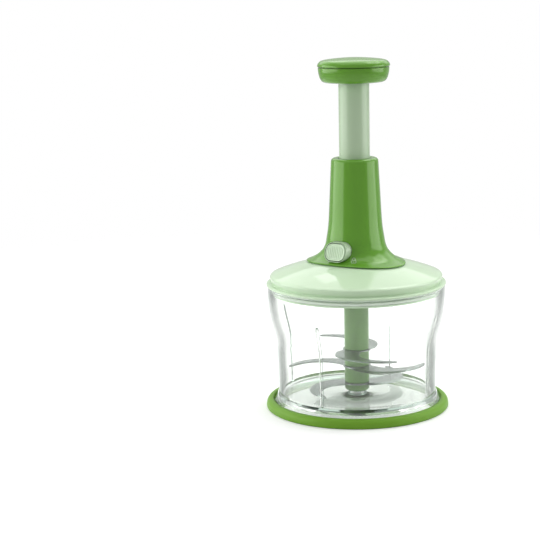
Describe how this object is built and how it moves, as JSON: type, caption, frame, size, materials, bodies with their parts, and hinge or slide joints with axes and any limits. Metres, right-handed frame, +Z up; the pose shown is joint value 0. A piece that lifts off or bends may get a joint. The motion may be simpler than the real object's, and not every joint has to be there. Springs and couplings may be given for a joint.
{
  "type": "manual food chopper",
  "caption": "Hand-pressed food chopper: a knob on a stem drives a twisted rod that spins blades in a clear bowl; a domed lid, a lock button and a non-slip ring.",
  "frame": {"origin": "on the surface it stands on, under the middle of the non-slip ring", "axes": "+Z up along the stem and the blade shaft; -Y towards the side with the lock button"},
  "size_m": [0.16, 0.16, 0.304],
  "materials": {
    "dark_green": "glossy moulded plastic",
    "ring_green": "satin soft plastic",
    "pale_green": "glossy moulded plastic",
    "stem_green": "satin moulded plastic",
    "shaft_green": "satin moulded plastic",
    "clear_plastic": "clear, polished",
    "silicone": "matte silicone",
    "white_plastic": "unfilled acetal",
    "steel": "bright steel",
    "spring_steel": "spring wire",
    "blade_steel": "ground stainless sheet",
    "brass": "sintered bush"
  },
  "bodies": {
    "bowl": {"bowl": "clear_plastic", "pivot_pin": "steel", "non_slip_ring": "ring_green"},
    "lid": {"lid_cover": "pale_green", "lid_seal": "silicone", "lid_underplate": "pale_green", "tower_housing": "dark_green", "guide_bush": "white_plastic", "tower_screw_1": "steel", "tower_screw_2": "steel", "tower_screw_3": "steel", "tower_screw_4": "steel", "button_sleeve": "stem_green", "button_spring": "spring_steel", "mechanism_housing": "white_plastic", "spindle_bush": "brass", "mechanism_screw_1": "steel", "mechanism_screw_2": "steel", "mechanism_screw_3": "steel", "mechanism_screw_4": "steel", "return_spring": "spring_steel"},
    "plunger": {"stem_tube": "stem_green", "stop_ring": "white_plastic", "drive_nut": "white_plastic", "knob_base": "dark_green", "knob_screw": "steel", "knob_cap": "dark_green"},
    "spindle": {"twisted_rod": "steel", "ratchet_wheel": "white_plastic"},
    "clutch": {"clutch_carrier": "white_plastic", "thrust_washer": "steel", "pawl_1": "white_plastic", "pawl_2": "white_plastic", "pawl_pin_1": "steel", "pawl_pin_2": "steel"},
    "blades": {"blade_shaft": "shaft_green", "pivot_bush": "brass", "blade_lower": "blade_steel", "blade_middle": "blade_steel", "blade_upper": "blade_steel", "spacer_lower": "shaft_green", "spacer_upper": "shaft_green", "blade_nut": "shaft_green"},
    "button": {"lock_button": "pale_green", "latch_slide": "white_plastic"}
  },
  "joints": [
    {"name": "lid_lift", "type": "slide", "parent": "bowl", "child": "lid", "axis": [0, 0, 1], "range_m": [0, 0.12]},
    {"name": "plunger_press", "type": "slide", "parent": "lid", "child": "plunger", "axis": [0, 0, -1], "range_m": [0, 0.06], "stiffness_N_per_m": 120, "springref_m": -0.04, "deforming": ["return_spring"]},
    {"name": "spindle_turn", "type": "hinge", "parent": "lid", "child": "spindle", "pos_m": [0, 0, 0.12], "axis": [0, 0, 1], "range_deg": [-541, 1]},
    {"name": "clutch_turn", "type": "hinge", "parent": "lid", "child": "clutch", "pos_m": [0, 0, 0.11], "axis": [0, 0, 1], "range_deg": [-541, 1]},
    {"name": "blade_turn", "type": "hinge", "parent": "bowl", "child": "blades", "pos_m": [0, 0, 0.03], "axis": [0, 0, 1], "range_deg": [-541, 1]},
    {"name": "button_press", "type": "slide", "parent": "lid", "child": "button", "axis": [0, 1, 0], "range_m": [0, 0.003], "stiffness_N_per_m": 400, "springref_m": -0.002, "deforming": ["button_spring"]}
  ],
  "couplings": [
    {"joint": "spindle_turn", "follows": "plunger_press", "rad_per_m": -157.08},
    {"joint": "clutch_turn", "follows": "plunger_press", "rad_per_m": -157.08},
    {"joint": "blade_turn", "follows": "plunger_press", "rad_per_m": -157.08}
  ]
}
